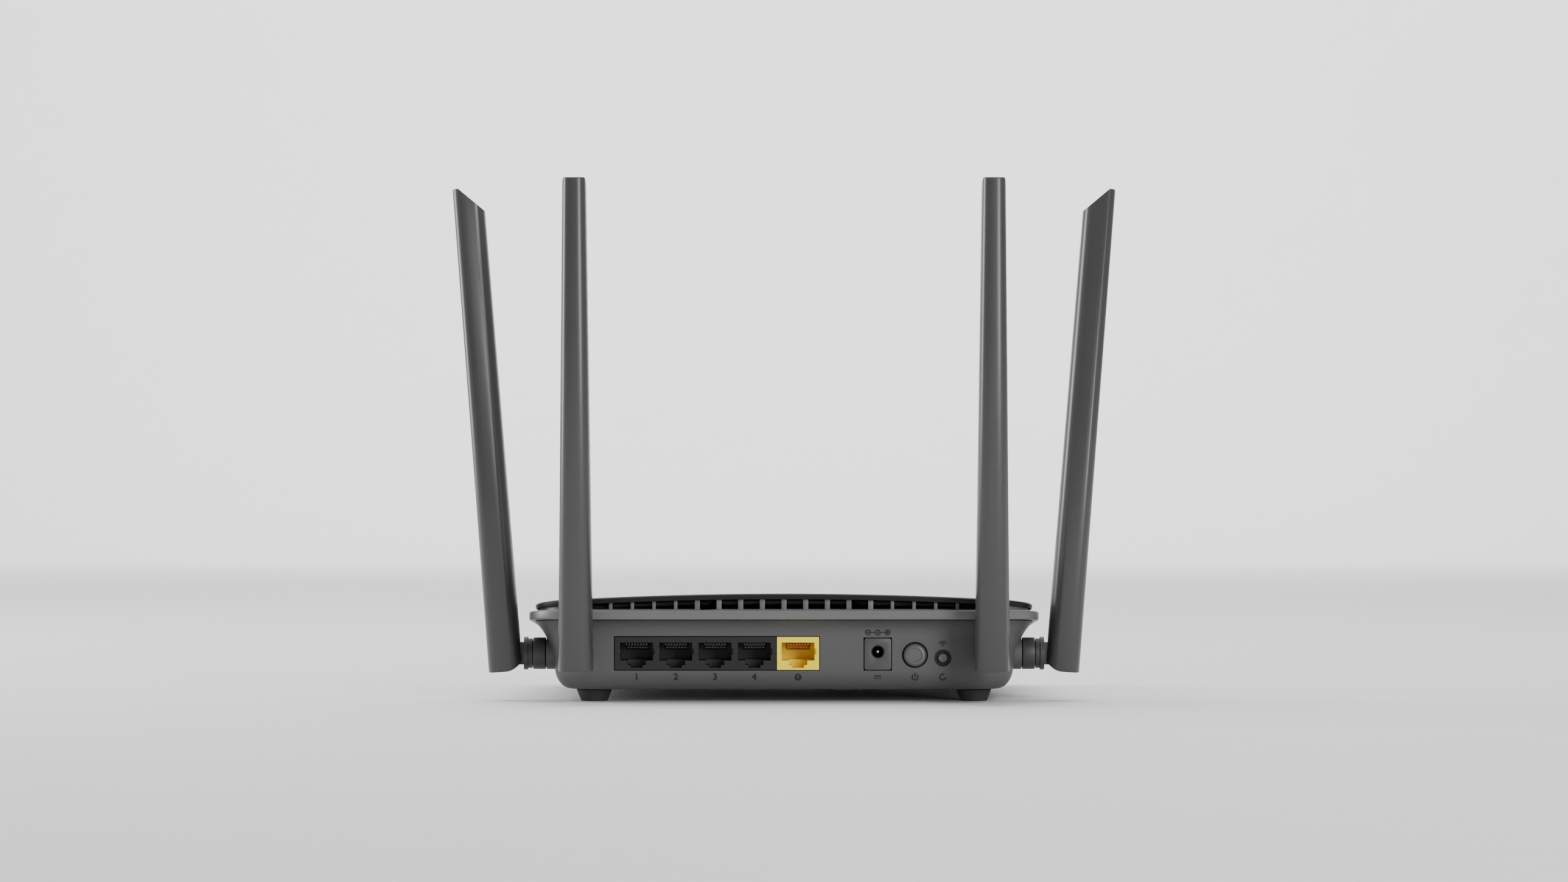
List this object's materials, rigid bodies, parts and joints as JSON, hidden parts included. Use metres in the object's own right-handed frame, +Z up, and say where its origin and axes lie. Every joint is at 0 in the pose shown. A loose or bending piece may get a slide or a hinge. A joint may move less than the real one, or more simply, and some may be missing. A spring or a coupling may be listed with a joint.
{
  "type": "wireless router",
  "caption": "Wedge-shaped wireless router with rear wired sockets, push buttons, a vented rim and swivelling, tilting blade aerials.",
  "frame": {"origin": "on the table under the centre of the whole object's bounding box, aerials included", "axes": "+X to the right when looking at the sockets, +Y from the sockets to the front, +Z up"},
  "size_m": [0.2378, 0.1798, 0.1852],
  "materials": {
    "casing_plastic": "fine-textured dark grey moulding",
    "rim_plastic": "satin dark grey moulding",
    "panel_plastic": "satin near-black cover",
    "aerial_plastic": "satin dark grey moulding",
    "hinge_plastic": "fine-textured near-black moulding",
    "button_plastic": "satin dark grey moulding",
    "jack_plastic": "plain black moulding",
    "yellow_plastic": "yellow moulding",
    "component_plastic": "black moulding compound",
    "rubber": "matt black",
    "steel": "nickel-plated",
    "brass": "gold-flashed spring metal",
    "aluminium": "plain",
    "board": "green solder mask",
    "label_film": "blank printed film",
    "clear_plastic": "clear moulding",
    "lead_jacket": "thin coaxial jacket"
  },
  "bodies": {
    "casing": {"circuit_board": "board", "foot_left_front": "rubber", "foot_left_rear": "rubber", "foot_right_front": "rubber", "foot_right_rear": "rubber", "heat_sink": "aluminium", "lan_contacts_1": "brass", "lan_contacts_2": "brass", "lan_contacts_3": "brass", "lan_contacts_4": "brass", "lan_jack_block": "jack_plastic", "lan_transformer": "component_plastic", "left_rear_lead": "lead_jacket", "left_rear_sleeve": "hinge_plastic", "left_side_lead": "lead_jacket", "left_side_sleeve": "hinge_plastic", "light_guide": "clear_plastic", "lower_casing": "casing_plastic", "pairing_switch": "component_plastic", "power_inlet": "jack_plastic", "power_inlet_pin": "steel", "power_switch": "component_plastic", "processor": "component_plastic", "radio_shield": "aluminium", "rating_label": "label_film", "right_rear_lead": "lead_jacket", "right_rear_sleeve": "hinge_plastic", "right_side_lead": "lead_jacket", "right_side_sleeve": "hinge_plastic", "screw_left_front": "steel", "screw_left_rear": "steel", "screw_right_front": "steel", "screw_right_rear": "steel", "top_panel": "panel_plastic", "upper_casing": "rim_plastic", "wan_contacts": "brass", "wan_jack": "yellow_plastic", "wan_transformer": "component_plastic"},
    "right_side_swivel": {"right_side_knuckle": "hinge_plastic", "right_side_hinge_pin": "steel", "right_side_retaining_ring": "steel"},
    "right_side_blade": {"right_side_aerial": "aerial_plastic", "right_side_radiator": "brass"},
    "left_side_swivel": {"left_side_knuckle": "hinge_plastic", "left_side_hinge_pin": "steel", "left_side_retaining_ring": "steel"},
    "left_side_blade": {"left_side_aerial": "aerial_plastic", "left_side_radiator": "brass"},
    "right_rear_swivel": {"right_rear_knuckle": "hinge_plastic", "right_rear_hinge_pin": "steel", "right_rear_retaining_ring": "steel"},
    "right_rear_blade": {"right_rear_aerial": "aerial_plastic", "right_rear_radiator": "brass"},
    "left_rear_swivel": {"left_rear_knuckle": "hinge_plastic", "left_rear_hinge_pin": "steel", "left_rear_retaining_ring": "steel"},
    "left_rear_blade": {"left_rear_aerial": "aerial_plastic", "left_rear_radiator": "brass"},
    "power_push": {"power_button": "button_plastic"},
    "pairing_push": {"pairing_button": "button_plastic"}
  },
  "joints": [
    {"name": "right_side_swivel", "type": "hinge", "parent": "casing", "child": "right_side_swivel", "pos_m": [0.1002, -0.036, 0.0169], "axis": [-1, 0, 0], "range_deg": [-90, 90]},
    {"name": "right_side_tilt", "type": "hinge", "parent": "right_side_swivel", "child": "right_side_blade", "pos_m": [0.1002, -0.036, 0.0169], "axis": [0, 1, 0], "range_deg": [-4.5, 85.5]},
    {"name": "left_side_swivel", "type": "hinge", "parent": "casing", "child": "left_side_swivel", "pos_m": [-0.1002, -0.036, 0.0169], "axis": [1, 0, 0], "range_deg": [-90, 90]},
    {"name": "left_side_tilt", "type": "hinge", "parent": "left_side_swivel", "child": "left_side_blade", "pos_m": [-0.1002, -0.036, 0.0169], "axis": [0, -1, 0], "range_deg": [-4.5, 85.5]},
    {"name": "right_rear_swivel", "type": "hinge", "parent": "casing", "child": "right_rear_swivel", "pos_m": [0.0734, -0.0712, 0.0186], "axis": [0, 1, 0], "range_deg": [-50, 90]},
    {"name": "right_rear_tilt", "type": "hinge", "parent": "right_rear_swivel", "child": "right_rear_blade", "pos_m": [0.0734, -0.0712, 0.0186], "axis": [1, 0, 0], "range_deg": [-4.5, 85.5]},
    {"name": "left_rear_swivel", "type": "hinge", "parent": "casing", "child": "left_rear_swivel", "pos_m": [-0.0734, -0.0712, 0.0186], "axis": [0, 1, 0], "range_deg": [-90, 50]},
    {"name": "left_rear_tilt", "type": "hinge", "parent": "left_rear_swivel", "child": "left_rear_blade", "pos_m": [-0.0734, -0.0712, 0.0186], "axis": [1, 0, 0], "range_deg": [-4.5, 85.5]},
    {"name": "power_button_press", "type": "slide", "parent": "casing", "child": "power_push", "axis": [0, 1, 0], "range_m": [0, 0.002], "stiffness_N_per_m": 800},
    {"name": "pairing_button_press", "type": "slide", "parent": "casing", "child": "pairing_push", "axis": [0, 1, 0], "range_m": [0, 0.0008], "stiffness_N_per_m": 1200}
  ]
}
